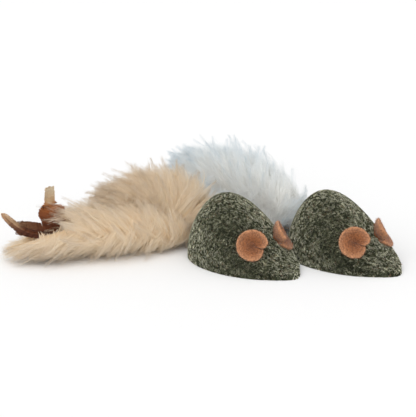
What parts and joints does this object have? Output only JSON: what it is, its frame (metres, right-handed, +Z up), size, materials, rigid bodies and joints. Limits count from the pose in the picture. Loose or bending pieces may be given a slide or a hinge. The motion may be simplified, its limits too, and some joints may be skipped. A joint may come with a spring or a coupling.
{
  "type": "catnip mice set",
  "caption": "Pressed catnip mice with dished felt ears and feather tails, lying side by side as a set; each tail swings and lifts at its thread binding.",
  "frame": {"origin": "middle of mouse A's flat base, on the surface that the set lies on", "axes": "+X the way both mice look, +Y to their left, +Z up"},
  "size_m": [0.1616, 0.1433, 0.0403],
  "materials": {
    "catnip": "matte",
    "felt": "matte",
    "glue": "satin",
    "thread": "matte",
    "tan_feather": "matte",
    "white_feather": "matte",
    "brown_feather": "matte"
  },
  "bodies": {
    "mouse_a": {"mouse_a_body": "catnip", "mouse_a_left_ear": "felt", "mouse_a_right_ear": "felt", "mouse_a_tail_plug": "glue"},
    "mouse_a_tail_root": {"mouse_a_tail_binding": "thread"},
    "mouse_a_tail": {"mouse_a_main_plume": "tan_feather", "mouse_a_upper_plume": "tan_feather", "mouse_a_hackle_upright": "brown_feather", "mouse_a_hackle_blunt": "brown_feather", "mouse_a_hackle_curled": "brown_feather"},
    "mouse_b": {"mouse_b_body": "catnip", "mouse_b_left_ear": "felt", "mouse_b_right_ear": "felt", "mouse_b_tail_plug": "glue"},
    "mouse_b_tail_root": {"mouse_b_tail_binding": "thread"},
    "mouse_b_tail": {"mouse_b_main_plume": "white_feather", "mouse_b_upper_plume": "white_feather", "mouse_b_hackle_upright": "brown_feather", "mouse_b_hackle_blunt": "brown_feather", "mouse_b_hackle_curled": "brown_feather"}
  },
  "joints": [
    {"name": "mouse_a_tail_swing", "type": "hinge", "parent": "mouse_a", "child": "mouse_a_tail_root", "pos_m": [-0.03343, 0, 0.008], "axis": [0, 0, 1], "range_deg": [-25, 25], "stiffness_Nm_per_rad": 0.003},
    {"name": "mouse_a_tail_lift", "type": "hinge", "parent": "mouse_a_tail_root", "child": "mouse_a_tail", "pos_m": [-0.03343, 0, 0.008], "axis": [-0.891, 0.454, 0], "range_deg": [0, 30], "stiffness_Nm_per_rad": 0.003},
    {"name": "mouse_b_apart", "type": "slide", "parent": "mouse_a", "child": "mouse_b", "axis": [0, 1, 0], "range_m": [0, 0.12]},
    {"name": "mouse_b_tail_swing", "type": "hinge", "parent": "mouse_b", "child": "mouse_b_tail_root", "pos_m": [-0.00413, 0.03658, 0.008], "axis": [0, 0, 1], "range_deg": [-25, 5], "stiffness_Nm_per_rad": 0.003},
    {"name": "mouse_b_tail_lift", "type": "hinge", "parent": "mouse_b_tail_root", "child": "mouse_b_tail", "pos_m": [-0.00413, 0.03658, 0.008], "axis": [-0.0349, 0.9994, 0], "range_deg": [0, 25], "stiffness_Nm_per_rad": 0.003}
  ]
}
